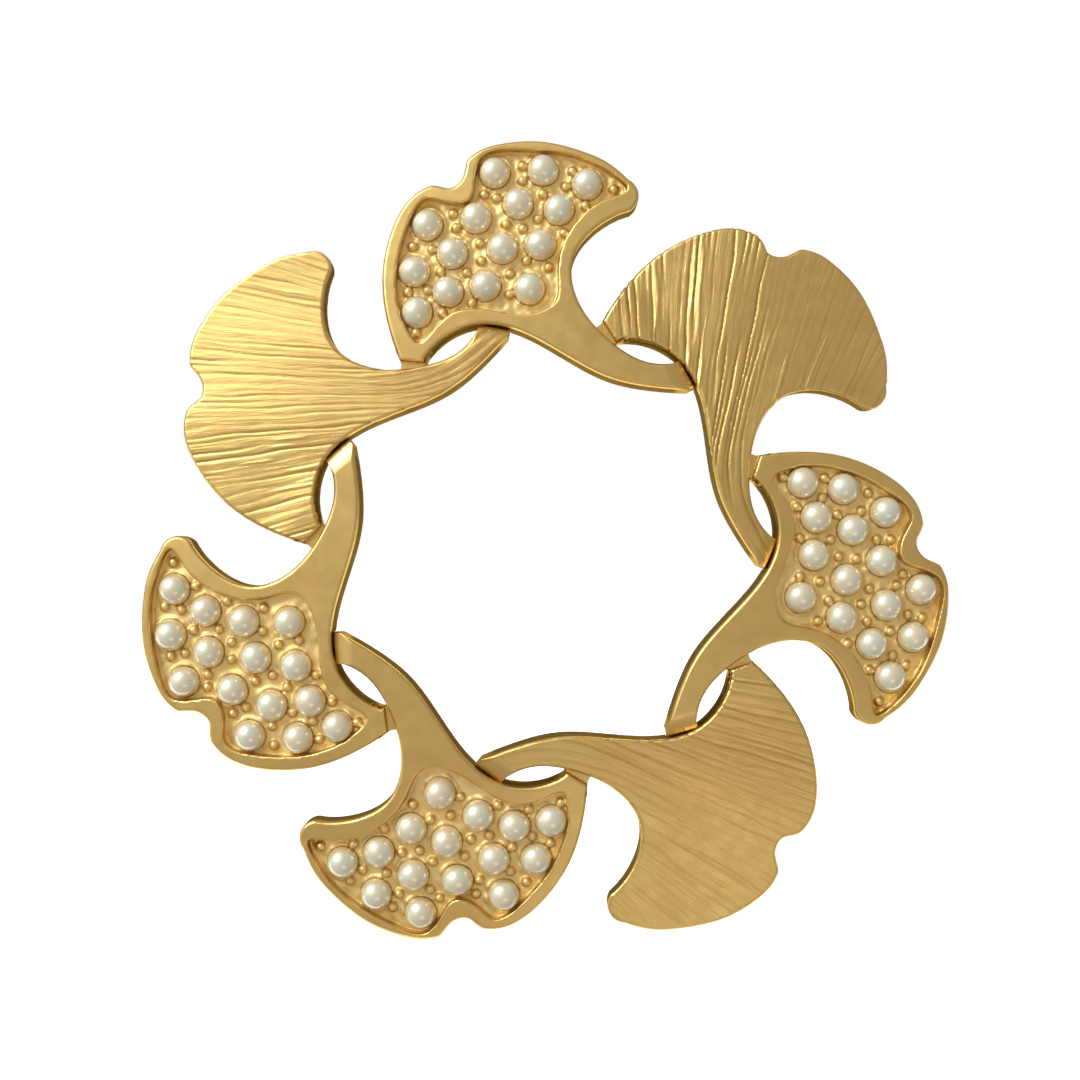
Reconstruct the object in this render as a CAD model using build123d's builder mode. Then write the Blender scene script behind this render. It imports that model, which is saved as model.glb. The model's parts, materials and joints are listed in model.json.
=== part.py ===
from build123d import *
from math import asin, cos, degrees, hypot, radians, sin, sqrt
import os

# Wreath brooch: seven ginkgo leaves in a ring, four of them set with pearls.
# Millimetres. The brooch is upright, as it is worn: the top leaf points along +Z, the fronts of the
# leaves face -Y, and their flat backs lie on the plane Y = 0, against the garment.

# ---- driving dimensions: the ring and one leaf ----
leaf_count = 7
ring_diameter = 60.0
drawn_diameter = 60.0  # the ring that the outline points below are drawn for
crown_height = 3.45  # where the domed front would meet the ring's axis
dome_radius = 282.0  # the front of the ring is part of one large shallow sphere
edge_round = 0.25  # rolled front edge of a casting

# ---- driving dimensions: trays and pearls ----
tray_depth = 0.8
cup_depth = 0.4  # below the tray's floor
cup_clearance = 0.03
pearl_diameter = 2.4
pearl_back_below_centre = 0.65  # the flat that the pearl is glued on
grain_diameter = 0.72
grain_lift = 0.12  # a grain's centre above the tray's floor

# ---- driving dimensions: the solder joints between leaves ----
wall_over_tongue = 0.35  # metal left between a tongue and the pearl cups above it
tongue_length = 2.5  # from the shoulder to the tongue's end
ramp_length = 0.45  # the shoulder slopes down to the tongue
foot_thickness = 1.2
foot_lap = 0.7  # how far the inner lobe's foot reaches under the stem beside it
foot_slope = 0.35  # the inner lobe rolls down to its foot

# ---- driving dimensions: the pin behind the leaves ----
pin_angle = 39.5  # direction of the pin across the ring
drawn_pin_offset = 19.45  # the pin's distance from the ring's axis
drawn_hinge_place = 5.05  # along the pin, from the point nearest the ring's axis
drawn_catch_place = 19.65
pin_diameter = 0.8
pin_overhang = 1.6  # the pin's point past the catch's middle
point_length = 3.2
neck_inset = 0.1  # the stem starts this much slimmer than the eye
neck_end = 1.5  # and has its full thickness at this distance from the rivet's axis
point_tip_radius = 0.06
eye_diameter = 1.9
eye_thickness = 0.8
rivet_diameter = 0.8
rivet_head_diameter = 1.3
rivet_head_height = 0.2
running_clearance = 0.05
side_clearance = 0.05
ear_thickness = 0.5
plate_length = 4.2
plate_width = 2.8
plate_thickness = 0.4
plate_corner = 0.6

# ---- driving dimensions: the safety catch ----
catch_length = 2.2
catch_wall = 0.55
catch_foot_length = 3.0
ring_stand = 0.2  # the lowest point of the catch's ring, sunk in its foot
rotor_diameter = 2.8
rotor_hole_clearance = 0.2
rotor_slot_clearance = 0.1
flange_overlap = 0.25  # the rotor's end flanges stand this far over the catch's bore
flange_thickness = 0.25
mouth_angle = 120.0
tab_reach = 1.3  # past the rotor's sleeve
tab_thickness = 0.6
tab_angle = 127.0  # the rotor's slot is at 90

leaf_step = 360.0 / leaf_count
ring_scale = ring_diameter / drawn_diameter
pin_offset = drawn_pin_offset * ring_scale
hinge_place = drawn_hinge_place * ring_scale
catch_place = drawn_catch_place * ring_scale
backs = Plane.XZ  # its +X is the brooch's +X, its +Y is up, and its +Z looks out of the front
leaf_names = [
    "leaf_top_pearl",
    "leaf_upper_right_ridged",
    "leaf_right_pearl",
    "leaf_lower_right_ridged",
    "leaf_bottom_pearl",
    "leaf_left_pearl",
    "leaf_upper_left_ridged",
]


def scaled(*points):
    """Outline points of a leaf, brought to the ring's size."""
    return [(x * ring_scale, y * ring_scale) for x, y in points]


def leaf_plane(number):
    """The plane of the backs, turned so that its +Y runs outwards through a leaf."""
    turn = radians(number * leaf_step)
    return Plane(origin=(0, 0, 0), x_dir=(cos(turn), 0, -sin(turn)), z_dir=backs.z_dir)


def front_height(x, y):
    """Height of the domed front above a point of the backs' plane."""
    return crown_height - dome_radius + sqrt(dome_radius**2 - x * x - y * y)


# ---- the outline of a leaf, with +Y outwards and +X clockwise round the ring ----
lobe_foot_left, lobe_foot_right = scaled((-10.45, 13.9), (-8.65, 14.25))
left_lobe_end = scaled((-8.3, 27.28))[0]
notch_bottom = scaled((-6.85, 27.08))[0]
right_lobe_start = scaled((-5.0, 29.75))[0]
tip_upper, tip_point, tip_lower = scaled((6.45, 27.75), (7.2, 26.45), (6.55, 25.35))
shoulder_outer, shoulder_inner = scaled((9.8, 13.95), (10.85, 11.92))

left_edge = scaled((-11.3, 16.3), (-11.88, 20.0), (-11.25, 23.8), (-9.7, 26.45))
notch_side = scaled((-5.95, 27.85), (-5.65, 29.1))
top_edge = scaled((-2.9, 30.5), (0.2, 30.62), (3.45, 29.75))
right_edge = scaled((4.0, 24.0), (2.25, 21.4), (2.55, 18.85), (4.9, 15.7), (7.3, 14.15))
inner_edge = scaled(
    (8.0, 12.15), (5.0, 12.8), (2.1, 14.25), (-0.5, 15.75), (-2.6, 16.6), (-4.4, 16.8), (-6.6, 16.15)
)

# The tongue runs on from the shoulder, square to it.
shoulder_width = hypot(shoulder_inner[0] - shoulder_outer[0], shoulder_inner[1] - shoulder_outer[1])
tongue_way = (
    (shoulder_outer[1] - shoulder_inner[1]) / shoulder_width,
    (shoulder_inner[0] - shoulder_outer[0]) / shoulder_width,
)
tongue_end_outer = (
    shoulder_outer[0] + tongue_way[0] * tongue_length,
    shoulder_outer[1] + tongue_way[1] * tongue_length,
)
tongue_end_inner = (
    shoulder_inner[0] + tongue_way[0] * tongue_length,
    shoulder_inner[1] + tongue_way[1] * tongue_length,
)

# The foot runs on from the inner lobe, under the stem of the leaf before.
foot_width = hypot(lobe_foot_right[0] - lobe_foot_left[0], lobe_foot_right[1] - lobe_foot_left[1])
foot_way = (-0.1, -0.995)
drawn_stem_gap = 0.4  # open width between the lobe and the stem beside it
foot_length = drawn_stem_gap * ring_scale + foot_lap
foot_end_left = (
    lobe_foot_left[0] + foot_way[0] * foot_length,
    lobe_foot_left[1] + foot_way[1] * foot_length,
)
foot_end_right = (
    lobe_foot_right[0] + foot_way[0] * foot_length,
    lobe_foot_right[1] + foot_way[1] * foot_length,
)

tray_edge = scaled(
    (-9.45, 15.6), (-10.35, 17.15), (-10.85, 20.3), (-10.1, 24.0), (-8.5, 26.3), (-7.2, 26.0), (-5.4, 26.2),
    (-5.0, 28.0), (-4.5, 29.45), (-2.0, 30.0), (1.4, 29.75), (5.3, 28.1), (6.35, 27.0), (5.0, 26.3),
    (3.0, 25.0), (1.7, 23.1), (1.2, 20.5), (0.95, 18.4), (0.0, 17.8), (-4.5, 17.9), (-7.4, 17.1),
)

pearl_rows = {
    "outer_row": scaled((-3.55, 28.3), (0.07, 28.5), (3.35, 27.43)),
    "second_row": scaled((-8.56, 24.35), (-4.95, 24.85), (-1.8, 25.95), (1.25, 25.5)),
    "third_row": scaled((-9.52, 20.83), (-6.7, 22.2), (-2.97, 22.56), (-0.15, 22.83)),
    "inner_row": scaled((-9.3, 17.75), (-7.0, 19.3), (-4.23, 19.75), (-0.95, 19.5)),
}

grain_places = scaled(
    (-1.48, 28.87), (-1.48, 27.74), (2.26, 28.47), (1.75, 27.27), (5.34, 27.08), (-4.33, 26.68),
    (-3.43, 26.41), (0.05, 26.72), (-2.70, 24.41), (-0.31, 24.81), (-1.44, 24.08), (3.22, 25.81),
    (1.62, 23.75), (-6.65, 25.21), (-6.43, 24.15), (-9.65, 22.75), (-8.22, 22.53), (-4.66, 22.99),
    (-4.53, 21.62), (-7.56, 20.82), (-5.63, 20.76), (-1.17, 21.62), (-2.40, 20.66), (0.49, 21.16),
    (-9.98, 19.29), (-8.53, 19.43), (-7.42, 17.70), (-5.23, 18.43), (-2.44, 19.09), (-9.35, 16.23),
)

# A tongue is as thick as the pearl cups of the leaf above it allow.
tongue_radius = hypot(*tongue_end_inner)
tongue_thickness = front_height(0, tongue_radius) - tray_depth - cup_depth - wall_over_tongue


def leaf_outline():
    """The closed outline of a whole leaf casting, tongue and foot included."""
    Spline(lobe_foot_left, *left_edge, left_lobe_end)
    Spline(left_lobe_end, notch_bottom, *notch_side, right_lobe_start, tangents=((1, 0.05), (0.8, 0.6)))
    Spline(right_lobe_start, *top_edge, tip_upper, tangents=((0.8, 0.6), (0.7, -0.7)))
    ThreePointArc(tip_upper, tip_point, tip_lower)
    Spline(tip_lower, *right_edge, shoulder_outer)
    Polyline(shoulder_outer, tongue_end_outer, tongue_end_inner, shoulder_inner)
    Spline(shoulder_inner, *inner_edge, lobe_foot_right)
    Polyline(lobe_foot_right, foot_end_right, foot_end_left, lobe_foot_left)


def tongue_outline():
    Polyline(shoulder_outer, tongue_end_outer, tongue_end_inner, shoulder_inner, close=True)


def foot_outline():
    Polyline(lobe_foot_left, lobe_foot_right, foot_end_right, foot_end_left, close=True)


def upright_view(start, way):
    """An upright plane of the top leaf: +X along a direction of its back, +Y towards its front."""
    return Plane(
        origin=backs.from_local_coords((*start, 0)),
        x_dir=backs.from_local_coords((*way, 0)),
        z_dir=backs.from_local_coords((way[1], -way[0], 0)),
    )


def slope_down(start, thickness, slope, reach):
    """Side view of the metal to take away where a casting slopes down to a thin tab."""
    Polyline(
        (start, stock_height),
        (start, crown_height),
        (start + slope, thickness),
        (reach, thickness),
        (reach, stock_height),
        close=True,
    )


# ---- the leaf castings ----
stock_height = crown_height + 1.0  # tall enough to be trimmed by the front sphere
tongue_reach = 2 * tongue_length
foot_reach = 2 * foot_length


def make_front_sphere(depth):
    """The large sphere whose top is the domed front, sunk by a depth."""
    with BuildPart(backs.offset(crown_height - dome_radius)) as sphere:
        Sphere(dome_radius - depth)
    return sphere.part


front_sphere = make_front_sphere(0)
tray_sphere = make_front_sphere(tray_depth)


def make_tray():
    """The metal that a pearl tray takes out of a leaf."""
    with BuildPart() as tray:
        with BuildSketch(backs):
            with BuildLine():
                Spline(*tray_edge, periodic=True)
            make_face()
        extrude(amount=stock_height)
        add(tray_sphere, mode=Mode.SUBTRACT)
    return tray.part


def below_front(places, depth):
    """Places in the top leaf at a depth below its domed front."""
    return [backs.location * Location((x, y, front_height(x, y) - depth)) for x, y in places]


def make_casting(has_pearls):
    """The top leaf: outline, domed front, thin tongue and foot, and the pockets for its neighbours."""
    tray = make_tray() if has_pearls else None
    with BuildPart() as casting:
        with BuildSketch(backs):
            with BuildLine():
                leaf_outline()
            make_face()
        extrude(amount=stock_height)
        add(front_sphere, mode=Mode.INTERSECT)
        front_edges = casting.faces().sort_by(Axis.Y)[0].edges()
        fillet(front_edges, radius=edge_round)

        with BuildSketch(upright_view(shoulder_outer, tongue_way)):
            with BuildLine():
                slope_down(0, tongue_thickness, ramp_length, tongue_reach)
            make_face()
        extrude(amount=shoulder_width * 1.5, both=True, mode=Mode.SUBTRACT)
        with BuildSketch(upright_view(lobe_foot_left, foot_way)):
            with BuildLine():
                slope_down(-foot_slope, foot_thickness, foot_slope, foot_reach)
            make_face()
        extrude(amount=foot_width * 1.5, both=True, mode=Mode.SUBTRACT)

        with BuildSketch(leaf_plane(-1)):
            with BuildLine():
                tongue_outline()
            make_face()
        extrude(amount=tongue_thickness, mode=Mode.SUBTRACT)
        with BuildSketch(leaf_plane(1)):
            with BuildLine():
                foot_outline()
            make_face()
        extrude(amount=foot_thickness, mode=Mode.SUBTRACT)

        if has_pearls:
            add(tray, mode=Mode.SUBTRACT)
            with Locations(*below_front(grain_places, tray_depth - grain_lift)):
                Sphere(grain_diameter / 2)
            pearl_places = [place for places in pearl_rows.values() for place in places]
            with Locations(*below_front(pearl_places, tray_depth + cup_depth)):
                Cylinder(
                    pearl_diameter / 2 + cup_clearance,
                    stock_height,
                    align=(Align.CENTER, Align.CENTER, Align.MIN),
                    mode=Mode.SUBTRACT,
                )
    return casting.part


def make_pearl_row(places):
    """A row of flat-backed pearls in the top leaf, each standing on the floor of its cup."""
    back_angle = degrees(asin(2 * pearl_back_below_centre / pearl_diameter))
    with BuildPart() as row:
        with Locations(*below_front(places, tray_depth + cup_depth)):
            Sphere(
                pearl_diameter / 2,
                arc_size1=-back_angle,
                align=(Align.CENTER, Align.CENTER, Align.MIN),
            )
    return row.part


# ---- the pin and its catch: +X along the pin, +Y towards the ring's axis, +Z away from the backs ----
pin_way = Vector(cos(radians(pin_angle)), 0, sin(radians(pin_angle)))
outward = Vector(-sin(radians(pin_angle)), 0, cos(radians(pin_angle)))
pin_plane = Plane(origin=outward * pin_offset, x_dir=pin_way, z_dir=(0, 1, 0))
rotor_radius = rotor_diameter / 2
bore_radius = rotor_radius + running_clearance
ring_radius = bore_radius + catch_wall
pin_height = ring_radius + ring_stand  # the pin's axis behind the leaves' backs


def foot_plane(along):
    """On the leaves' backs, centred under a place along the pin."""
    return Plane(origin=pin_plane.from_local_coords((along, 0, 0)), x_dir=pin_way, z_dir=(0, 1, 0))


def side_view(along, sideways=0.0):
    """An upright plane along the pin: +X along it, +Y away from the backs, +Z outwards."""
    return Plane(
        origin=pin_plane.from_local_coords((along, 0, 0)) + outward * sideways,
        x_dir=pin_way,
        z_dir=outward,
    )


def end_view(along):
    """An upright plane across the pin: +X towards the ring's axis, +Y away from the backs."""
    return Plane(origin=pin_plane.from_local_coords((along, 0, 0)), x_dir=-outward, z_dir=pin_way)


# ---- the hinge ----
ear_inside = eye_thickness / 2 + side_clearance
ear_outside = ear_inside + ear_thickness
ear_radius = eye_diameter / 2

with BuildPart() as joint_plate:
    with BuildSketch(foot_plane(hinge_place)):
        RectangleRounded(plate_length, plate_width, plate_corner)
    extrude(amount=plate_thickness)
    for side in (-ear_outside, ear_inside):
        with BuildSketch(side_view(hinge_place, side)):
            Rectangle(2 * ear_radius, pin_height, align=(Align.CENTER, Align.MIN))
            with Locations((0, pin_height)):
                Circle(ear_radius)
                Circle(rivet_diameter / 2, mode=Mode.SUBTRACT)
        extrude(amount=ear_thickness)

with BuildPart() as hinge_rivet:
    with BuildSketch(side_view(hinge_place)):
        with Locations((0, pin_height)):
            Circle(rivet_diameter / 2)
    extrude(amount=ear_outside, both=True)
    for side in (-ear_outside - rivet_head_height, ear_outside):
        with BuildSketch(side_view(hinge_place, side)):
            with Locations((0, pin_height)):
                Circle(rivet_head_diameter / 2)
        extrude(amount=rivet_head_height)

# ---- the pin stem ----
pin_radius = pin_diameter / 2
neck_radius = eye_thickness / 2 - neck_inset
neck_start = ear_radius - neck_radius / 2
stem_tip = catch_place + pin_overhang - hinge_place
stem_axis = Axis(pin_plane.from_local_coords((hinge_place, 0, pin_height)), pin_way)

with BuildPart() as pin_stem:
    with BuildSketch(side_view(hinge_place)):
        with Locations((0, pin_height)):
            Circle(eye_diameter / 2)
            Circle(rivet_diameter / 2 + running_clearance, mode=Mode.SUBTRACT)
    extrude(amount=eye_thickness / 2, both=True)
    with BuildSketch(side_view(hinge_place)):
        with BuildLine():
            Polyline(
                (neck_start, pin_height),
                (neck_start, pin_height + neck_radius),
                (neck_end, pin_height + pin_radius),
                (stem_tip - point_length, pin_height + pin_radius),
                (stem_tip, pin_height + point_tip_radius),
                (stem_tip, pin_height),
                close=True,
            )
        make_face()
    revolve(axis=stem_axis)

# ---- the safety catch ----
mouth_reach = 2 * ring_radius
half_mouth = radians(mouth_angle / 2)
slot_width = pin_diameter + 2 * rotor_slot_clearance
sleeve_length = catch_length + 2 * side_clearance

with BuildPart() as catch_base:
    with BuildSketch(foot_plane(catch_place)):
        RectangleRounded(catch_foot_length, plate_width, plate_corner)
    extrude(amount=plate_thickness)
    with BuildSketch(end_view(catch_place)):
        with Locations((0, pin_height)):
            Circle(ring_radius)
        with Locations((0, pin_height)):
            Circle(bore_radius, mode=Mode.SUBTRACT)
        with BuildLine():
            Polyline(
                (0, pin_height),
                (mouth_reach * sin(half_mouth), pin_height + mouth_reach * cos(half_mouth)),
                (0, pin_height + mouth_reach),
                (-mouth_reach * sin(half_mouth), pin_height + mouth_reach * cos(half_mouth)),
                close=True,
            )
        make_face(mode=Mode.SUBTRACT)
    extrude(amount=catch_length / 2, both=True)

with BuildPart() as catch_rotor:
    with BuildSketch(end_view(catch_place)):
        with Locations((0, pin_height)):
            Circle(rotor_radius)
    extrude(amount=sleeve_length / 2, both=True)
    for end in (-sleeve_length / 2 - flange_thickness, sleeve_length / 2):
        with BuildSketch(end_view(catch_place + end)):
            with Locations((0, pin_height)):
                Circle(bore_radius + flange_overlap)
        extrude(amount=flange_thickness)
    with BuildSketch(end_view(catch_place)):
        with Locations((0, pin_height)):
            with PolarLocations(0, 1, start_angle=tab_angle):
                Rectangle(rotor_radius + tab_reach, tab_thickness, align=(Align.MIN, Align.CENTER))
    extrude(amount=catch_length / 2, both=True)
    with BuildSketch(end_view(catch_place)):
        with Locations((0, pin_height)):
            Circle(pin_radius + rotor_hole_clearance)
            Rectangle(slot_width, 2 * rotor_radius, align=(Align.CENTER, Align.MIN))
    extrude(amount=sleeve_length, both=True, mode=Mode.SUBTRACT)

# ---- labels and files ----
os.makedirs("parts", exist_ok=True)


def write_part(builder, name):
    builder.part.label = name
    export_step(builder.part, f"parts/{name}.step")


def turned_copy(part, number):
    """The same piece in the place of another leaf of the ring."""
    with BuildPart() as copy:
        add(part, rotation=(0, number * leaf_step, 0))
    return copy


ridged_casting = make_casting(False)
pearl_casting = make_casting(True)
top_rows = {row_name: make_pearl_row(places) for row_name, places in pearl_rows.items()}

for number, name in enumerate(leaf_names):
    if name.endswith("ridged"):
        write_part(turned_copy(ridged_casting, number), name)
        continue
    write_part(turned_copy(pearl_casting, number), name)
    place_name = name.removeprefix("leaf_").removesuffix("_pearl")
    for row_name, row in top_rows.items():
        write_part(turned_copy(row, number), f"pearls_{place_name}_{row_name}")

write_part(joint_plate, "joint_plate")
write_part(hinge_rivet, "hinge_rivet")
write_part(pin_stem, "pin_stem")
write_part(catch_base, "catch_base")
write_part(catch_rotor, "catch_rotor")
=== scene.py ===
import json
import math

import bpy
import numpy as np
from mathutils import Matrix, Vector

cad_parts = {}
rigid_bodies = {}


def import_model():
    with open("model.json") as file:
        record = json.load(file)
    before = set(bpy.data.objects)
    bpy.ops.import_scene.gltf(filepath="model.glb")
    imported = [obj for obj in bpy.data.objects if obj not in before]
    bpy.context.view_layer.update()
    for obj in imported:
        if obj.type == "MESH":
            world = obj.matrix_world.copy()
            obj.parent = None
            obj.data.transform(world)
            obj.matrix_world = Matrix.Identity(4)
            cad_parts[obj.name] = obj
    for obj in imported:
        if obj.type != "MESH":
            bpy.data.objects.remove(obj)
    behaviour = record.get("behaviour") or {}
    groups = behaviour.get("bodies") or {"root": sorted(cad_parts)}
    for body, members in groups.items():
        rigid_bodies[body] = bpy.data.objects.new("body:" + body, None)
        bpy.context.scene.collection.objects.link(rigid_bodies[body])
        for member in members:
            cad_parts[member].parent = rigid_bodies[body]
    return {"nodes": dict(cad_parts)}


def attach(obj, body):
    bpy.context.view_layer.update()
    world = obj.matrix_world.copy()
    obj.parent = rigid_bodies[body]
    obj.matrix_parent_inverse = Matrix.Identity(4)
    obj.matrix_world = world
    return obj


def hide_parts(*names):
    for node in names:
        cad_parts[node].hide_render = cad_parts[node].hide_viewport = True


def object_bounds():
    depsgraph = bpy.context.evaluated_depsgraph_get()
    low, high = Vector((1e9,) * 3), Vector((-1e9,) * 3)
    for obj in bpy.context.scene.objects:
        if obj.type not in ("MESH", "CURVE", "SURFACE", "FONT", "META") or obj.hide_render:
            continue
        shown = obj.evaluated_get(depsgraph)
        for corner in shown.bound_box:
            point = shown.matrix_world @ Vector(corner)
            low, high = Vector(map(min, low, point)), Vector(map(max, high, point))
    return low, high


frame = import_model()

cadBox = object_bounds()
print("frame loaded:", len(frame["nodes"]), "nodes")

mm = 0.001  # the scene is in metres, and sizes below are written in millimetres
mergeGap = 0.0005  # points nearer than this are one point
lumpWaves = {"count": 14, "spread": (0.6, 1.6)}


def clearSelection():
    if bpy.context.object and bpy.context.object.mode != "OBJECT":
        bpy.ops.object.mode_set(mode="OBJECT")
    for obj in bpy.data.objects:
        obj.select_set(False)
    bpy.context.view_layer.objects.active = None


def pick(obj):
    clearSelection()
    obj.select_set(True)
    bpy.context.view_layer.objects.active = obj


def applyModifier(obj, kind, **settings):
    pick(obj)
    modifier = obj.modifiers.new(kind.lower(), kind)
    for key, value in settings.items():
        setattr(modifier, key, value)
    bpy.ops.object.modifier_apply(modifier=modifier.name)


def copyOfNode(node, name):  # a merged copy of a CAD node, free to be shaped
    mesh = frame["nodes"][node].data.copy()
    mesh.materials.clear()
    obj = bpy.data.objects.new(name, mesh)
    bpy.context.scene.collection.objects.link(obj)
    pick(obj)
    bpy.ops.mesh.customdata_custom_splitnormals_clear()
    bpy.ops.object.mode_set(mode="EDIT")
    bpy.ops.mesh.select_all(action="SELECT")
    bpy.ops.mesh.remove_doubles(threshold=mergeGap * mm)
    bpy.ops.object.mode_set(mode="OBJECT")
    return obj


def readPoints(obj, what="co"):
    values = np.empty(len(obj.data.vertices) * 3, np.float32)
    obj.data.vertices.foreach_get(what, values)
    return values.reshape(-1, 3).astype(float)


def writePoints(obj, points):
    obj.data.vertices.foreach_set("co", points.astype(np.float32).ravel())
    obj.data.update()


def writeShade(obj, name, values):  # a number at each point, for the material
    shade = obj.data.attributes.new(name, "FLOAT", "POINT")
    shade.data.foreach_set("value", values.astype(np.float32))


def smoothStep(low, high, values):
    t = np.clip((values - low) / (high - low), 0, 1)
    return t * t * (3 - 2 * t)


def bellNoise(points, seed, size):  # soft lumps of about this size, from a few crossed waves
    rng = np.random.default_rng(seed)
    total = np.zeros(len(points))
    for _ in range(lumpWaves["count"]):
        way = rng.normal(size=3)
        way *= 2 * math.pi / size / np.linalg.norm(way) * rng.uniform(*lumpWaves["spread"])
        total += np.sin(points @ way + rng.uniform(0, 2 * math.pi))
    return total / lumpWaves["count"] ** 0.5


def newMaterial(name):
    material = bpy.data.materials.new(name)
    material.use_nodes = True
    tree = material.node_tree
    return material, tree, tree.nodes["Principled BSDF"]


def addNode(tree, kind, **settings):
    node = tree.nodes.new(kind)
    for key, value in settings.items():
        if key in node.inputs:
            node.inputs[key].default_value = value
        else:
            setattr(node, key, value)
    return node


def attributeOf(tree, name, output="Fac"):
    return addNode(tree, "ShaderNodeAttribute", attribute_name=name).outputs[output]


def mixColours(tree, factor, first, second):
    mix = addNode(tree, "ShaderNodeMix", data_type="RGBA")
    tree.links.new(factor, mix.inputs["Factor"])
    colourSockets = [s for s in mix.inputs if s.type == "RGBA"]
    for socket, colour in zip(colourSockets, (first, second)):
        if isinstance(colour, tuple):
            socket.default_value = (*colour, 1)
        else:
            tree.links.new(colour, socket)
    return [s for s in mix.outputs if s.type == "RGBA"][0]


def noiseOf(tree, vector, scale, detail=2.0, roughness=0.5):
    noise = addNode(tree, "ShaderNodeTexNoise", Scale=scale, Detail=detail, Roughness=roughness)
    tree.links.new(vector, noise.inputs["Vector"])
    return noise.outputs["Fac"]


def rangeOf(tree, value, low, high, newLow, newHigh):
    remap = addNode(tree, "ShaderNodeMapRange")
    for key, number in (("From Min", low), ("From Max", high), ("To Min", newLow), ("To Max", newHigh)):
        remap.inputs[key].default_value = number
    tree.links.new(value, remap.inputs["Value"])
    return remap.outputs["Result"]


def sumOf(tree, first, second):
    total = addNode(tree, "ShaderNodeMath", operation="ADD")
    tree.links.new(first, total.inputs[0])
    tree.links.new(second, total.inputs[1])
    return total.outputs["Value"]


def bumpOf(tree, height, distance, under=None):
    bump = addNode(tree, "ShaderNodeBump", Strength=1.0, Distance=distance)
    tree.links.new(height, bump.inputs["Height"])
    if under:
        tree.links.new(under, bump.inputs["Normal"])
    return bump.outputs["Normal"]


goldFinish = {
    "gold": (0.86, 0.62, 0.235),
    "warmGold": (0.80, 0.52, 0.19),
    "hollowsAndPaintedShade": (0.42, 0.23, 0.065),  # darker in grooves and flute hollows; in the tray corners and round each pearl it is painted shade
    "trayGold": (0.97, 0.76, 0.36),  # the matt cast floor of the trays; on the tray walls it is painted light over their shade
    "paintedWallShade": (0.20, 0.135, 0.055),  # painted shade: the side walls are darkened to stand in for a dark reflection
    "grazing": (0.55, 0.42, 0.20),  # tint at a glancing angle
    "cloudScale": 190,  # scales are per metre
    "cloudRange": (0.35, 0.65),
    "cloudAmount": 0.55,
    "roughness": 0.36,
    "roughnessSpread": (-0.05, 0.06),
    "roughnessScale": 900,
    "roughnessRange": (0.3, 0.7),
    "trayDullness": 0.2,  # how much rougher the trays are
    "sideDullness": 0.3,  # and the side walls
    "skin": (5200, 3.0, 0.6),  # scale, detail and roughness of the noise
    "skinHeight": 0.006,
    "streaks": (5.5, 3.0, 0.65),  # in the fan's own measure
    "streakHeight": 0.035,
}


def goldMaterial(name, brushed):
    look = goldFinish
    material, tree, shader = newMaterial(name)
    place = addNode(tree, "ShaderNodeTexCoord").outputs["Object"]
    cloud = rangeOf(tree, noiseOf(tree, place, look["cloudScale"]), *look["cloudRange"],
                    0, look["cloudAmount"])
    base = mixColours(tree, cloud, look["gold"], look["warmGold"])
    base = mixColours(tree, attributeOf(tree, "tray"), base, look["trayGold"])
    base = mixColours(tree, attributeOf(tree, "hollowsAndPaintedShade"), base, look["hollowsAndPaintedShade"])
    base = mixColours(tree, attributeOf(tree, "paintedWallShade"), base, look["paintedWallShade"])
    tree.links.new(base, shader.inputs["Base Color"])
    shader.inputs["Metallic"].default_value = 1.0
    shader.inputs["Specular Tint"].default_value = (*look["grazing"], 1)
    normal = bumpOf(tree, noiseOf(tree, place, *look["skin"]), look["skinHeight"] * mm)
    if brushed:
        along = attributeOf(tree, "fan", "Vector")
        streaks = noiseOf(tree, along, *look["streaks"])
        normal = bumpOf(tree, streaks, look["streakHeight"] * mm, normal)
    smooth, dull = look["roughnessSpread"]
    rough = rangeOf(tree, noiseOf(tree, place, look["roughnessScale"], 3.0), *look["roughnessRange"],
                    look["roughness"] + smooth, look["roughness"] + dull)
    rough = sumOf(tree, rough, rangeOf(tree, attributeOf(tree, "paintedWallShade"), 0, 1, 0, look["sideDullness"]))
    rough = sumOf(tree, rough, rangeOf(tree, attributeOf(tree, "tray"), 0, 1, 0, look["trayDullness"]))
    tree.links.new(rough, shader.inputs["Roughness"])
    tree.links.new(normal, shader.inputs["Normal"])
    return material


pearlFinish = {
    "cream": (0.93, 0.85, 0.64),
    "rose": (0.91, 0.81, 0.62),
    "green": (0.82, 0.86, 0.72),
    "goldReflectionAndLacquer": (0.86, 0.63, 0.29),  # painted reflection of the gold cup near the back, with the lacquer's warmer tone there
    "roseScale": 620,
    "roseRange": (0.42, 0.62),
    "greenScale": 880,
    "greenRange": (0.48, 0.66),
    "roughness": 0.3,
    "metallic": 0.35,  # gives the lacquer its depth
    "specular": 0.75,
    "coatRoughness": 0.08,
    "coatIor": 2.1,
    "inside": 0.12,  # light that comes back out of the lacquer
    "insideColour": (1.0, 0.8, 0.6),
    "insideDepth": 0.4,
    "skinScale": 1500,
    "skinHeight": 0.012,
}


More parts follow.
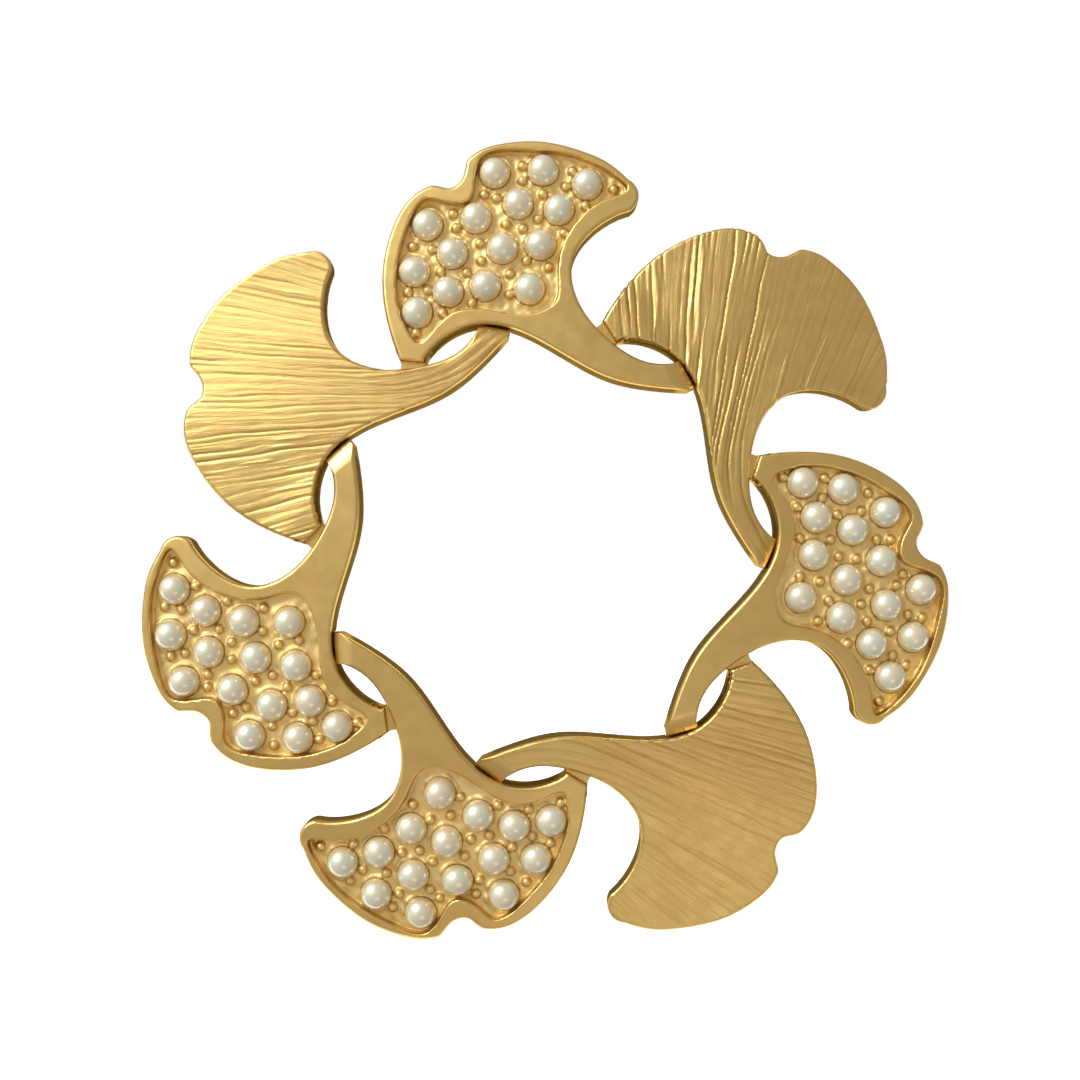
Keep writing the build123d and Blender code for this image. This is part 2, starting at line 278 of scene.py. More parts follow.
def pearlMaterial():
    look = pearlFinish
    material, tree, shader = newMaterial("pearlLacquer")
    place = addNode(tree, "ShaderNodeTexCoord").outputs["Object"]
    rose = rangeOf(tree, noiseOf(tree, place, look["roseScale"], 1.0), *look["roseRange"], 0, 1)
    green = rangeOf(tree, noiseOf(tree, place, look["greenScale"], 1.0), *look["greenRange"], 0, 1)
    base = mixColours(tree, rose, look["cream"], look["rose"])
    base = mixColours(tree, green, base, look["green"])
    base = mixColours(tree, attributeOf(tree, "goldReflectionAndLacquer"), base, look["goldReflectionAndLacquer"])
    tree.links.new(base, shader.inputs["Base Color"])
    shader.inputs["Roughness"].default_value = look["roughness"]
    shader.inputs["Metallic"].default_value = look["metallic"]
    shader.inputs["Specular IOR Level"].default_value = look["specular"]
    shader.inputs["Coat Weight"].default_value = 1.0
    shader.inputs["Coat Roughness"].default_value = look["coatRoughness"]
    shader.inputs["Coat IOR"].default_value = look["coatIor"]
    shader.inputs["Subsurface Weight"].default_value = look["inside"]
    shader.inputs["Subsurface Radius"].default_value = look["insideColour"]
    shader.inputs["Subsurface Scale"].default_value = look["insideDepth"] * mm
    normal = bumpOf(tree, noiseOf(tree, place, look["skinScale"]), look["skinHeight"] * mm)
    tree.links.new(normal, shader.inputs["Normal"])
    return material


findingFinish = {
    "gold": (0.82, 0.58, 0.24),
    "steel": (0.74, 0.62, 0.40),
    "lineWay": 39.5,  # degrees, the way the pin lies
    "lineScales": (400, 9000, 9000),
    "lineHeight": 0.006,
    "lineRange": (0.3, 0.7),
    "wearScale": 700,
    "wearRange": (0.4, 0.7),
    "wearAmount": 0.5,
    "wornShade": 0.7,
    "roughness": 0.3,
    "roughnessSpread": (-0.07, 0.1),
}


def findingMaterial(name, colour):  # drawn or stamped metal with fine lines one way
    look = findingFinish
    material, tree, shader = newMaterial(name)
    place = addNode(tree, "ShaderNodeTexCoord").outputs["Object"]
    stretch = addNode(tree, "ShaderNodeMapping")
    stretch.inputs["Rotation"].default_value = (0, math.radians(look["lineWay"]), 0)
    stretch.inputs["Scale"].default_value = look["lineScales"]
    tree.links.new(place, stretch.inputs["Vector"])
    lines = noiseOf(tree, stretch.outputs["Vector"], 1.0, 3.0)
    wear = rangeOf(tree, noiseOf(tree, place, look["wearScale"], 3.0), *look["wearRange"],
                   0, look["wearAmount"])
    worn = mixColours(tree, wear, colour, tuple(look["wornShade"] * c for c in colour))
    tree.links.new(worn, shader.inputs["Base Color"])
    shader.inputs["Metallic"].default_value = 1.0
    smooth, dull = look["roughnessSpread"]
    rough = rangeOf(tree, lines, *look["lineRange"], look["roughness"] + smooth, look["roughness"] + dull)
    tree.links.new(rough, shader.inputs["Roughness"])
    tree.links.new(bumpOf(tree, lines, look["lineHeight"] * mm), shader.inputs["Normal"])
    return material


satinGold = goldMaterial("satinGold", False)
brushedGold = goldMaterial("brushedGold", True)
pearlCoat = pearlMaterial()
stampedGold = findingMaterial("stampedGold", findingFinish["gold"])
washedSteel = findingMaterial("washedSteel", findingFinish["steel"])
print("finishes made")

casting = {
    "voxel": 0.095,  # the skin's mesh
    "quickVoxel": 0.19,
    "melt": 4,  # how far the cast edges have softened
    "domeTop": 3.45,
    "domeRadius": 282.0,
    "trayDepth": 0.8,
    "pearlRadius": 1.2,
    "leafCount": 7,
    "facing": (0.86, 0.97),  # a skin that faces this squarely is settled on its true surface
    "frontReach": (0.07, 0.15),  # when it isn't further off than this
    "backReach": (0.05, 0.12),
}
leafNames = [
    "leaf_top_pearl",
    "leaf_upper_right_ridged",
    "leaf_right_pearl",
    "leaf_lower_right_ridged",
    "leaf_bottom_pearl",
    "leaf_left_pearl",
    "leaf_upper_left_ridged",
]


def leafTurn(number):
    return 2 * math.pi * number / casting["leafCount"]


def toLeaf(points, number):  # x clockwise, y outwards and height above the backs, in mm
    turn = leafTurn(number)
    x = (points[:, 0] * math.cos(turn) - points[:, 2] * math.sin(turn)) / mm
    y = (points[:, 0] * math.sin(turn) + points[:, 2] * math.cos(turn)) / mm
    return x, y, -points[:, 1] / mm


def toWorld(x, y, height, number):
    turn = leafTurn(number)
    return np.stack((x * math.cos(turn) + y * math.sin(turn), -height,
                     -x * math.sin(turn) + y * math.cos(turn)), axis=1) * mm


def domeHeight(x, y):
    radius = casting["domeRadius"]
    return casting["domeTop"] - radius + np.sqrt(radius ** 2 - x * x - y * y)


def meltedCopy(node, name):
    obj = copyOfNode(node, name)
    voxel = casting["voxel"]
    applyModifier(obj, "REMESH", mode="VOXEL", voxel_size=voxel * mm)
    applyModifier(obj, "SMOOTH", factor=0.5, iterations=casting["melt"])
    return obj


def settleFaces(obj, number, depths):
    # the domed front, the tray floor and the flat back are brought back to their true surfaces
    x, y, height = toLeaf(readPoints(obj), number)
    front = -readPoints(obj, "normal")[:, 1]
    dome = domeHeight(x, y)
    for depth in depths:
        gap = dome - depth - height
        pull = smoothStep(*casting["facing"], front) * (1 - smoothStep(*casting["frontReach"], np.abs(gap)))
        height = height + gap * pull
    pull = smoothStep(*casting["facing"], -front) * (1 - smoothStep(*casting["backReach"], np.abs(height)))
    writePoints(obj, toWorld(x, y, height * (1 - pull), number))


laps = {
    "shoulder": (9.8, 13.95),  # the stem's shoulder, and the way its tongue runs on
    "tongueWay": (0.888, 0.459),
    "shoulderSlope": (-0.9, 0.5),  # the slope's start and end along the tongue
    "shoulderDrop": 0.55,
    "shoulderCurve": 1.6,
    "shoulderStart": 8.0,
    "shoulderFloor": 0.9,
    "halfWidth": 3.0,
    "tongueStart": -0.15,
    "stepDepth": 0.3,  # a skin this far under the dome is on the lap's lower side
    "cornerDrop": 0.35,
    "footSides": (-11.2, -8.2),
    "footTop": 14.9,
    "footBottom": 13.2,
    "footFloor": 0.8,
    "footDrop": 0.5,
    "footSlope": 0.9,
}


def easeLaps(obj, number):  # a gentle slope down to each solder lap, as solder leaves it
    x, y, height = toLeaf(readPoints(obj), number)
    dome = domeHeight(x, y)
    sx, sy = laps["shoulder"]
    wx, wy = laps["tongueWay"]
    along = (x - sx) * wx + (y - sy) * wy
    aside = np.abs((x - sx) * wy - (y - sy) * wx)
    low, high = laps["shoulderSlope"]
    near = (along > low) & (along < high) & (aside < laps["halfWidth"])
    near &= (x > laps["shoulderStart"]) & (height > laps["shoulderFloor"])
    slope = dome - laps["shoulderDrop"] * np.clip((along - low) / (high - low), 0, 1) ** laps["shoulderCurve"]
    onTongue = near & (height < dome - laps["stepDepth"]) & (along > laps["tongueStart"])
    height = np.where(onTongue, np.maximum(height, slope), height)
    eased = np.minimum(height, np.maximum(slope, dome - laps["cornerDrop"]))
    height = np.where(near & ~onTongue, eased, height)
    left, right = laps["footSides"]
    foot = (x > left) & (x < right) & (y < laps["footTop"]) & (y > laps["footBottom"])
    foot &= height > laps["footFloor"]
    bridge = dome - laps["footDrop"] * smoothStep(laps["footTop"], laps["footTop"] - laps["footSlope"], y)
    height = np.where(foot & (height < dome - laps["stepDepth"]), np.maximum(height, bridge), height)
    writePoints(obj, toWorld(x, y, height, number))


def finishLeaf(obj, node, material):
    obj.data.materials.clear()
    obj.data.materials.append(material)
    pick(obj)
    bpy.ops.object.shade_smooth()
    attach(obj, "wreath")
    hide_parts(node)


fluting = {
    "focus": (17.9, -3.8),  # the ridges of the blade fan out from here
    "stemPlaces": (1.5, 3.0, 4.5, 6.0, 8.0, 10.0),
    "stemWays": (133, 136, 143, 155, 168, 172),  # degrees, the way the ridges run along the stem
    "stemFoot": (1.5, 4.0),
    "stemTop": (17.0, 19.5),
    "step": 0.25,  # of the walk along the stem, and how many steps
    "stepCount": 56,
    "fanSpan": (100.0, 165),  # degrees
    "lobes": (121, 137),  # the tip lobe's settings pass into the inner lobe's here
    "spacing": (0.5, 1.3),  # degrees between neighbouring grooves
    "crestPlace": (0.35, 0.65),  # of a flute, between its grooves
    "fluteDepth": 0.085,
    "fluteSizes": (0.35, 1.25),
    "fluteRates": (0.2, 0.5),
    "fluteWidth": 0.6,  # a flute this wide has its full depth
    "fluteLimits": (0.5, 1.4),
    "phases": (0, 6.3),
    "grooveDepth": 0.09,
    "grooveWidth": 0.07,
    "grooveRates": (0.15, 0.45),
    "grooveSizes": (0.15, 1.25),
    "crestCount": 30,  # fine raised lines that start and end on the blade
    "crestSpan": (104, 158),
    "crestStarts": (20, 34),
    "crestLengths": (3, 9),
    "crestFade": 1.5,
    "crestHeight": 0.05,
    "crestWidth": 0.09,
    "waver": (0.03, 0.55, 0.12),  # slow unevenness of the whole blade: height, across and along
    "wander": ((0.10, 0.55, 0.9), (0.05, 1.3, 2.1)),  # the ridges' own drift: degrees, along and across
    "fluteWave": (0.75, 0.25),  # level and swing of the depth along a flute
    "grooveWave": (0.55, 0.75),
    "highest": 0.06,
}
ridgedLeaves = {
    "leaf_upper_right_ridged": {
        "name": "upperRightRidgedLeaf",
        "seed": 11,
        "flute": (0.14, 0.14),  # at the tip lobe and at the inner lobe
        "groove": (0.22, 1.6),
        "crest": 1.2,
        "droop": 0.6,
        "crown": 127,  # degrees, where the blade is fullest
    },
    "leaf_lower_right_ridged": {
        "name": "lowerRightRidgedLeaf",
        "seed": 23,
        "flute": (0.17, 0.2),
        "groove": (0.3, 0.45),
        "crest": 0.5,
        "droop": 0.4,
        "crown": 132,
    },
    "leaf_upper_left_ridged": {
        "name": "upperLeftRidgedLeaf",
        "seed": 37,
        "flute": (0.2, 0.25),
        "groove": (0.5, 0.55),
        "crest": 1.0,
        "droop": 0.4,
        "crown": 132,
    },
}
bladeSkin = {
    "front": (0.25, 0.8),  # how squarely the skin faces forwards
    "frontReach": (0.3, 0.5),
    "wallStart": (-0.7, -0.2),
    "wallReach": (0.5, 1.2),  # the ridges run this far down the edge
    "wallShare": 0.7,
    "darkInGroove": 1.15,
    "darkInFlute": 0.12,
    "darkLimit": 0.8,
    "droopWidth": 10,  # from the crown of the blade to its full droop
    "droopLimit": 1.3,
    "droopHeights": (1.2, 2.6),
    "droopFrom": (15.5, 18.5),
    "fanScale": (0.5, 0.06),  # of the streaks, across and along the ridges
}


def fanPlace(x, y):
    # follows each point out along the ridges to the blade, and gives its angle and distance in the fan
    fx, fy = fluting["focus"]
    px, py, run = x.copy(), y.copy(), np.zeros(len(x))
    for _ in range(fluting["stepCount"]):
        ray = np.degrees(np.arctan2(py - fy, px - fx))
        stem = np.interp(px, fluting["stemPlaces"], fluting["stemWays"])
        inStem = smoothStep(*fluting["stemFoot"], px) * (1 - smoothStep(*fluting["stemTop"], py))
        way = np.radians(ray * (1 - inStem) + stem * inStem)
        moving = inStem > 0
        px[moving] += fluting["step"] * np.cos(way[moving])
        py[moving] += fluting["step"] * np.sin(way[moving])
        run[moving] += fluting["step"]
    return np.degrees(np.arctan2(py - fy, px - fx)), np.hypot(px - fx, py - fy) - run


def wandered(angle, reach):
    slow, quick = [size * np.sin(reach * alongRate + angle * acrossRate)
                   for size, alongRate, acrossRate in fluting["wander"]]
    return angle + slow + quick


def spreadGrooves(rng):
    start, end = fluting["fanSpan"]
    grooves = [start]
    while grooves[-1] < end:
        grooves.append(grooves[-1] + rng.uniform(*fluting["spacing"]))
    return np.array(grooves)


def crestLines(angle, reach, degree, rng):
    count, fade = fluting["crestCount"], fluting["crestFade"]
    crests = np.sort(rng.uniform(*fluting["crestSpan"], count))
    starts = rng.uniform(*fluting["crestStarts"], count)
    lengths = rng.uniform(*fluting["crestLengths"], count)
    raised = np.zeros(len(angle))
    for crest, start, length in zip(crests, starts, lengths):
        end = start + length
        off = (angle - crest) * degree / fluting["crestWidth"]
        ends = smoothStep(start, start + fade, reach) * (1 - smoothStep(end - fade, end, reach))
        raised += fluting["crestHeight"] * ends * np.exp(-(off ** 2))
    return raised


def makeRidges(obj, number, leaf):
    rng = np.random.default_rng(leaf["seed"])
    points = readPoints(obj)
    normals = readPoints(obj, "normal")
    facing = -normals[:, 1]
    x, y, height = toLeaf(points, number)
    angle, reach = fanPlace(x, y)
    angle = wandered(angle, reach)
    grooves = spreadGrooves(rng)
    count = len(grooves)
    after = np.clip(np.searchsorted(grooves, angle), 1, count - 1)
    low, high = grooves[after - 1], grooves[after]
    focusX, focusY = fluting["focus"]
    degree = np.radians(1) * np.hypot(x - focusX, y - focusY)  # the width of one degree, in mm
    across = (angle - low) / (high - low)
    lobe = smoothStep(*fluting["lobes"], angle)  # 0 towards the tip, 1 towards the inner lobe
    fluteAmount = leaf["flute"][0] * (1 - lobe) + leaf["flute"][1] * lobe
    grooveAmount = leaf["groove"][0] * (1 - lobe) + leaf["groove"][1] * lobe

    crestPlace = rng.uniform(*fluting["crestPlace"], count)[after]
    side = np.where(across < crestPlace, across / crestPlace, (1 - across) / (1 - crestPlace))
    bulge = 1 - (1 - np.clip(side, 0, 1)) ** 2
    fluteSize = rng.uniform(*fluting["fluteSizes"], count)[after]
    fluteRate = rng.uniform(*fluting["fluteRates"], count)[after]
    flutePhase = rng.uniform(*fluting["phases"], count)[after]
    level, swing = fluting["fluteWave"]
    fluteWave = level + swing * np.sin(reach * fluteRate + flutePhase)
    widthShare = np.clip((high - low) * degree / fluting["fluteWidth"], *fluting["fluteLimits"])
    change = -fluting["fluteDepth"] * fluteAmount * fluteSize * fluteWave * widthShare * (1 - bulge)

    toGroove = np.where(across < 0.5, angle - low, high - angle) * degree
    nearest = np.where(across < 0.5, after - 1, after)
    grooveRate = rng.uniform(*fluting["grooveRates"], count)[nearest]
    groovePhase = rng.uniform(*fluting["phases"], count)[nearest]
    grooveSize = rng.uniform(*fluting["grooveSizes"], count)[nearest]
    level, swing = fluting["grooveWave"]
    grooveWave = np.clip(level + swing * np.sin(reach * grooveRate + groovePhase), 0, 1)
    cut = np.exp(-((toGroove / fluting["grooveWidth"]) ** 2)) * grooveAmount * grooveSize * grooveWave
    change -= fluting["grooveDepth"] * cut
    change += leaf["crest"] * crestLines(angle, reach, degree, rng)
    waver, waverAcross, waverAlong = fluting["waver"]
    change += waver * np.sin(angle * waverAcross + reach * waverAlong)

    gap = domeHeight(x, y) - height
    front = smoothStep(*bladeSkin["front"], facing)
    onFront = front * (1 - smoothStep(*bladeSkin["frontReach"], gap))
    onWall = (1 - front) * smoothStep(*bladeSkin["wallStart"], facing)
    onWall *= 1 - smoothStep(*bladeSkin["wallReach"], gap)
    change = np.minimum(change, fluting["highest"]) * (onFront + bladeSkin["wallShare"] * onWall)
    moved = points + normals * (change * mm)[:, None]
    offCrown = np.abs(angle - leaf["crown"]) * degree / bladeSkin["droopWidth"]
    droop = leaf["droop"] * np.clip(offCrown, 0, bladeSkin["droopLimit"]) ** 2
    droop *= smoothStep(*bladeSkin["droopHeights"], height) * smoothStep(*bladeSkin["droopFrom"], y)
    moved[:, 1] += droop * mm
    writePoints(obj, moved)

    # darker in the grooves and in the flute hollows
    hollowsAndPaintedShade = cut * bladeSkin["darkInGroove"] + (1 - bulge) ** 2 * bladeSkin["darkInFlute"] * fluteAmount
    writeShade(obj, "hollowsAndPaintedShade", np.clip(hollowsAndPaintedShade, 0, bladeSkin["darkLimit"]) * onFront)
    acrossFan, alongFan = bladeSkin["fanScale"]
    fanValues = np.stack((angle * acrossFan, reach * alongFan, np.zeros(len(x))), axis=1)
    fan = obj.data.attributes.new("fan", "FLOAT_VECTOR", "POINT")
    fan.data.foreach_set("vector", fanValues.astype(np.float32).ravel())


# where the side walls get painted shade, and the lumps in it
sideSkin = {
    "facing": (0.10, 0.55),
    "depth": (0.25, 0.6),
    "stemLap": (10.6, 13.2),  # the slopes at the two solder laps get no painted shade
    "footLap": (-9.6, 13.9),
    "lapReach": (1.1, 1.5),
    "level": 0.93,
    "lumps": 0.03,
    "lumpSize": 2.0,
}


# painted shade: the side walls are darkened below the front, except at the solder laps
def shadeWalls(obj, number, keep=1):
    points = readPoints(obj)
    x, y, height = toLeaf(points, number)
    facing = np.abs(readPoints(obj, "normal")[:, 1])
    wall = 1 - smoothStep(*sideSkin["facing"], facing)
    wall *= smoothStep(*sideSkin["depth"], domeHeight(x, y) - height)
    toStem = np.hypot(x - sideSkin["stemLap"][0], y - sideSkin["stemLap"][1])
    toFoot = np.hypot(x - sideSkin["footLap"][0], y - sideSkin["footLap"][1])
    wall *= smoothStep(*sideSkin["lapReach"], np.minimum(toStem, toFoot))
    lumps = sideSkin["level"] + sideSkin["lumps"] * bellNoise(points / mm, number + 5, sideSkin["lumpSize"])
    writeShade(obj, "paintedWallShade", np.clip(wall * keep * lumps, 0, 1))


trayFloor = {
    "reach": (1.9, 2.6),  # the tray ends this far from its pearls
    "cupTop": 0.95,  # below this depth only the cups are in the tray
    "cupReach": 0.6,
    "trayDepths": (0.15, 0.4, 1.2, 1.6),  # fades in, is full, and fades out below the cups
    "floorDepths": (0.5, 0.7, 0.9, 1.0),
    "floorFacing": (0.6, 0.9),
    "collarPlace": 1.34,  # a small collar is raised round each pearl
    "collarWidth": 0.11,
    "collarHeight": 0.2,
    "collarUneven": (0.85, 0.25),
    "squeeze": 0.13,  # the metal is pressed in against the pearls
    "squeezePlace": 1.26,
    "squeezeWidth": 0.13,
    "squeezeDepths": (0.35, 0.55),
    "castRoughness": 0.035,
    "castSize": 0.9,
    # painted shade at the foot of the tray walls, and in a ring round each pearl
    "cornerDepth": 0.72,
    "cornerReach": (0.1, 0.45),
    "cornerFacing": (0.55, 0.95),
    "paintedCornerShade": 0.35,
    "ringReach": (1.22, 1.5),
    "paintedRingShade": 0.25,
    # the tray's gold starts this far down, so the tray walls get it too: painted light over their shade
    "goldDepths": (0.1, 0.3),
}
pearlLeaves = {
    "leaf_top_pearl": "topPearlLeaf",
    "leaf_right_pearl": "rightPearlLeaf",
    "leaf_bottom_pearl": "bottomPearlLeaf",
    "leaf_left_pearl": "leftPearlLeaf",
}
rowNames = ("outer_row", "second_row", "third_row", "inner_row")


def pearlCentres(node):  # reads the pearls' places from the CAD row
    copyOfNode(node, "rowParts")
    bpy.ops.object.mode_set(mode="EDIT")
    bpy.ops.mesh.select_all(action="SELECT")
    bpy.ops.mesh.separate(type="LOOSE")
    bpy.ops.object.mode_set(mode="OBJECT")
    centres = []
    for part in list(bpy.context.selected_objects):
        points = readPoints(part)
        low, high = points.min(0), points.max(0)
        front = low[1] + casting["pearlRadius"] * mm
        centres.append(((low[0] + high[0]) / 2, front, (low[2] + high[2]) / 2))
        bpy.data.objects.remove(part)
    return sorted(centres)


def workTray(obj, number, centres):
    floor = trayFloor
    points = readPoints(obj)
    facing = -readPoints(obj, "normal")[:, 1]
    x, y, height = toLeaf(points, number)
    gap = domeHeight(x, y) - height
    centres = np.array(centres)
    distances = np.hypot(points[:, 0:1] - centres[:, 0], points[:, 2:3] - centres[:, 2])
    which = np.argmin(distances, axis=1)
    nearest = distances.min(axis=1) / mm
    shallow, floorTop, floorBottom, deep = floor["floorDepths"]
    onFloor = smoothStep(shallow, floorTop, gap) * (1 - smoothStep(floorBottom, deep, gap))
    onFloor *= smoothStep(*floor["floorFacing"], facing)
    reach = np.where(gap > floor["cupTop"], nearest + floor["cupReach"], nearest)
    rim, wall, cup, bottom = floor["trayDepths"]
    inTray = (1 - smoothStep(*floor["reach"], reach)) * smoothStep(rim, wall, gap)
    inTray *= 1 - smoothStep(cup, bottom, gap)

    collar = np.exp(-(((nearest - floor["collarPlace"]) / floor["collarWidth"]) ** 2))
    lump = bellNoise(points / mm, number + 60, floor["castSize"])
    level, swing = floor["collarUneven"]
    height += onFloor * collar * floor["collarHeight"] * (level + swing * lump)
    height += onFloor * (1 - collar) * floor["castRoughness"] * lump
    squeeze = np.exp(-(((nearest - floor["squeezePlace"]) / floor["squeezeWidth"]) ** 2))
    squeeze *= smoothStep(*floor["squeezeDepths"], gap) * floor["squeeze"]
    away = points - centres[which]
    away[:, 1] = 0
    away /= np.maximum(np.linalg.norm(away, axis=1), 1e-9)[:, None]
    writePoints(obj, toWorld(x, y, height, number) - away * (squeeze * mm)[:, None])

    # painted shade: darkened at the foot of the tray walls and in a ring round each pearl
    corner = inTray * (1 - smoothStep(*floor["cornerReach"], np.abs(gap - floor["cornerDepth"])))
    corner *= 1 - smoothStep(*floor["cornerFacing"], facing)
    ringShade = onFloor * (1 - smoothStep(*floor["ringReach"], nearest)) * floor["paintedRingShade"]
    writeShade(obj, "hollowsAndPaintedShade", corner * floor["paintedCornerShade"] + ringShade)
    # the trays' matt gold, which on the tray walls is painted light
    writeShade(obj, "tray", np.clip(inTray * smoothStep(*floor["goldDepths"], gap), 0, 1))
    return inTray


pearlShape = {
    "radius": 1.2,
    "segments": 28,
    "rings": 20,
    "backBelowCentre": 0.65,
    "seed": 5,
    "unround": 0.035,  # no two of them are quite the same
    "narrow": 0.014,
    "lump": 0.008,
    "lumpSize": 1.8,
    "goldReflectionDepths": (-0.8, 0.15),  # the painted gold reflection and warmer lacquer run from here back
    "goldReflectionAmount": 0.75,
    "backEdge": 40,  # degrees
}


def makePearl():
    clearSelection()
    bpy.ops.mesh.primitive_uv_sphere_add(
        segments=pearlShape["segments"], ring_count=pearlShape["rings"], radius=pearlShape["radius"] * mm)
    pearl = bpy.context.object
    pearl.name = "pearlPattern"
    bpy.ops.object.mode_set(mode="EDIT")
    bpy.ops.mesh.select_all(action="SELECT")
    bpy.ops.mesh.bisect(plane_co=(0, pearlShape["backBelowCentre"] * mm, 0), plane_no=(0, 1, 0),
                        use_fill=True, clear_outer=True)
    bpy.ops.mesh.select_all(action="DESELECT")
    bpy.ops.object.mode_set(mode="OBJECT")
    return pearl


def pearlCopy(pattern, centre, rng):
    obj = bpy.data.objects.new("pearl", pattern.data.copy())
    bpy.context.scene.collection.objects.link(obj)
    points = readPoints(obj)
    unround = pearlShape["unround"]
    turn = rng.uniform(0, math.pi)
    u = points[:, 0] * math.cos(turn) + points[:, 2] * math.sin(turn)
    v = -points[:, 0] * math.sin(turn) + points[:, 2] * math.cos(turn)
    u = u * (1 - rng.uniform(0, unround))
    v = v * (1 - rng.uniform(0, pearlShape["narrow"]))
    front = np.where(points[:, 1] < 0, 1 - rng.uniform(0, unround), 1)
    noise = bellNoise(points / mm, int(rng.integers(1, 10 ** 6)), pearlShape["lumpSize"])
    lump = 1 - pearlShape["lump"] * (1 + noise)
    shaped = np.stack(((u * math.cos(turn) - v * math.sin(turn)) * lump, points[:, 1] * front,
                       (u * math.sin(turn) + v * math.cos(turn)) * lump), axis=1)
    writePoints(obj, shaped + np.array(centre))
    goldReflectionAndLacquer = smoothStep(*pearlShape["goldReflectionDepths"], points[:, 1] / mm)
    writeShade(obj, "goldReflectionAndLacquer", goldReflectionAndLacquer * pearlShape["goldReflectionAmount"])
    return obj


def pearlRow(rowNode, name, pattern, centres, rng):
    parts = [pearlCopy(pattern, centre, rng) for centre in centres]
    clearSelection()
    for part in parts:
        part.select_set(True)
    bpy.context.view_layer.objects.active = parts[0]
    bpy.ops.object.join()
    row = bpy.context.object
    row.name = name
    row.data.materials.clear()
    row.data.materials.append(pearlCoat)
    bpy.ops.object.shade_smooth_by_angle(angle=math.radians(pearlShape["backEdge"]))
    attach(row, "wreath")
    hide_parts(rowNode)


pearlPattern = makePearl()
pearlRng = np.random.default_rng(pearlShape["seed"])
for number, node in enumerate(leafNames):
    if node in pearlLeaves:
        place = node.removeprefix("leaf_").removesuffix("_pearl")
        allCentres = []
        for rowName in rowNames:
            rowNode = f"pearls_{place}_{rowName}"
            centres = pearlCentres(rowNode)
            allCentres += centres
            visibleName = place + "Pearls" + rowName.split("_")[0].capitalize()
            pearlRow(rowNode, visibleName, pearlPattern, centres, pearlRng)
        leaf = meltedCopy(node, pearlLeaves[node])
        settleFaces(leaf, number, (0, casting["trayDepth"]))
        easeLaps(leaf, number)
        inTray = workTray(leaf, number, allCentres)
        shadeWalls(leaf, number, 1 - np.clip(inTray, 0, 1))
        finishLeaf(leaf, node, satinGold)
    else:
        settings = ridgedLeaves[node]
        leaf = meltedCopy(node, settings["name"])
        settleFaces(leaf, number, (0,))
        easeLaps(leaf, number)
        makeRidges(leaf, number, settings)
        shadeWalls(leaf, number)
        finishLeaf(leaf, node, brushedGold)
    print(leaf.name, len(leaf.data.polygons), "faces")
bpy.data.objects.remove(pearlPattern)

findings = {  # name, body, slot, finish and the width of the broken edges
    "joint_plate": ("jointPlate", "wreath", "gold_findings", stampedGold, 0.08),
    "hinge_rivet": ("hingeRivet", "wreath", "gold_findings", stampedGold, 0.07),
    "pin_stem": ("pinStem", "pin", "pin_steel", washedSteel, 0.06),
    "catch_base": ("catchBase", "wreath", "gold_findings", stampedGold, 0.08),
    "catch_rotor": ("catchRotor", "rotor", "gold_findings", stampedGold, 0.05),
}
findingEdges = {"flat": 2, "sharp": 40, "smooth": 35}  # degrees
for node, (name, body, slotName, material, roundness) in findings.items():
    piece = copyOfNode(node, name)
    bpy.ops.object.mode_set(mode="EDIT")
    bpy.ops.mesh.select_all(action="SELECT")
    bpy.ops.mesh.dissolve_limited(angle_limit=math.radians(findingEdges["flat"]))
    bpy.ops.object.mode_set(mode="OBJECT")
    applyModifier(piece, "BEVEL", width=roundness * mm, segments=2, limit_method="ANGLE",
                  angle_limit=math.radians(findingEdges["sharp"]), harden_normals=False)
    piece.data.materials.append(material)
    pick(piece)
    bpy.ops.object.shade_smooth_by_angle(angle=math.radians(findingEdges["smooth"]))
    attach(piece, body)
    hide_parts(node)
print("findings made")

paleFloor = {
    "drop": 0.05,  # just under the lowest leaf
    "size": 0.5,  # metres
    "place": (0, 0.248),  # nearly all of it is behind the brooch, so the leaves don't mirror it
    "shade": 0.9,
    "glow": 0.85,
}
clearSelection()
bpy.ops.mesh.primitive_plane_add(
    size=paleFloor["size"], location=(*paleFloor["place"], cadBox[0].z - paleFloor["drop"] * mm))
floor = bpy.context.object
floor.name = "floor"
floorPaint, _, floorShader = newMaterial("paleFloor")
floorShader.inputs["Base Color"].default_value = (*[paleFloor["shade"]] * 3, 1)
floorShader.inputs["Roughness"].default_value = 0.9
floorShader.inputs["Emission Color"].default_value = (1, 1, 1, 1)
floorShader.inputs["Emission Strength"].default_value = paleFloor["glow"]
floor.data.materials.append(floorPaint)

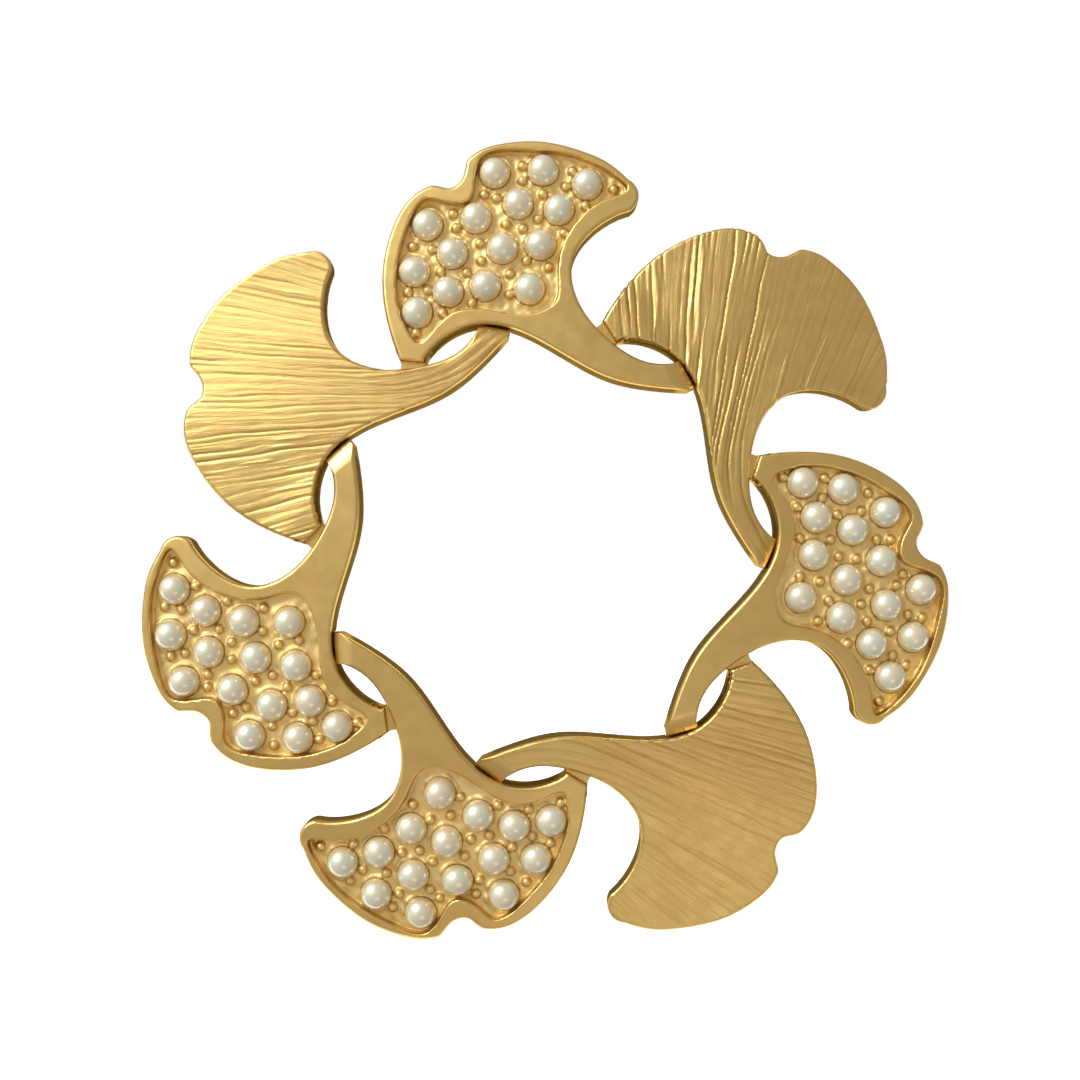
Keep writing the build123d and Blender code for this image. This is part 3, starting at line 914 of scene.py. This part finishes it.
lamps = {  # place and size in metres, power and colour
    "windowLight": ((-0.27, -0.24, 0.26), (0.24, 0.28), 1.25, (0.95, 1.0, 0.96)),
    "lowLight": ((0.07, -0.29, -0.16), (0.16, 0.12), 0.04, (1.0, 0.93, 0.86)),
    "backLight": ((0.14, 0.40, 0.30), (0.25, 0.25), 0.4, (1.0, 0.98, 0.95)),
}
for name, (place, size, power, colour) in lamps.items():
    data = bpy.data.lights.new(name, "AREA")
    data.shape = "RECTANGLE"
    data.size, data.size_y = size
    data.energy = power
    data.color = colour
    lamp = bpy.data.objects.new(name, data)
    bpy.context.scene.collection.objects.link(lamp)
    lamp.location = place
    lamp.rotation_mode = "QUATERNION"
    lamp.rotation_quaternion = (-Vector(place)).to_track_quat("-Z", "Y")

room = {  # what the metal mirrors: a bright side towards the window, and a dim one
    "bright": (0.90, 0.88, 0.82),
    "dim": (0.42, 0.385, 0.33),
    "windowWay": (-0.66, -0.50, 0.56),
    "blend": (0.57, 0.97),
}
world = bpy.data.worlds.new("studio")
bpy.context.scene.world = world
world.use_nodes = True
tree = world.node_tree
sky = tree.nodes["Background"]
way = addNode(tree, "ShaderNodeTexCoord").outputs["Generated"]
dot = addNode(tree, "ShaderNodeVectorMath", operation="DOT_PRODUCT")
tree.links.new(way, dot.inputs[0])
dot.inputs[1].default_value = Vector(room["windowWay"]).normalized()
blend = rangeOf(tree, dot.outputs["Value"], *room["blend"], 0, 1)
tree.links.new(mixColours(tree, blend, room["dim"], room["bright"]), sky.inputs["Color"])
sky.inputs["Strength"].default_value = 1.0
plain = addNode(tree, "ShaderNodeBackground")
plain.inputs["Color"].default_value = (1, 1, 1, 1)
chooser = addNode(tree, "ShaderNodeMixShader")
tree.links.new(addNode(tree, "ShaderNodeLightPath").outputs["Is Camera Ray"], chooser.inputs["Fac"])
tree.links.new(sky.outputs["Background"], chooser.inputs[1])
tree.links.new(plain.outputs["Background"], chooser.inputs[2])
tree.links.new(chooser.outputs["Shader"], tree.nodes["World Output"].inputs["Surface"])

closeUp = {
    "distance": 0.107,  # metres
    "lens": 46.99,
    "sensor": 36,
    "shift": (-0.00202, 0.0105),
}
cameraData = bpy.data.cameras.new("camera")
cameraData.sensor_width = closeUp["sensor"]
cameraData.lens = closeUp["lens"]
cameraData.shift_x, cameraData.shift_y = closeUp["shift"]
camera = bpy.data.objects.new("camera", cameraData)
bpy.context.scene.collection.objects.link(camera)
camera.location = (0, -closeUp["distance"], 0)
camera.rotation_euler = (math.radians(90), 0, 0)
bpy.context.scene.camera = camera
bpy.context.scene.view_settings.view_transform = "Standard"
bpy.context.scene.view_settings.look = "None"
print("studio made")
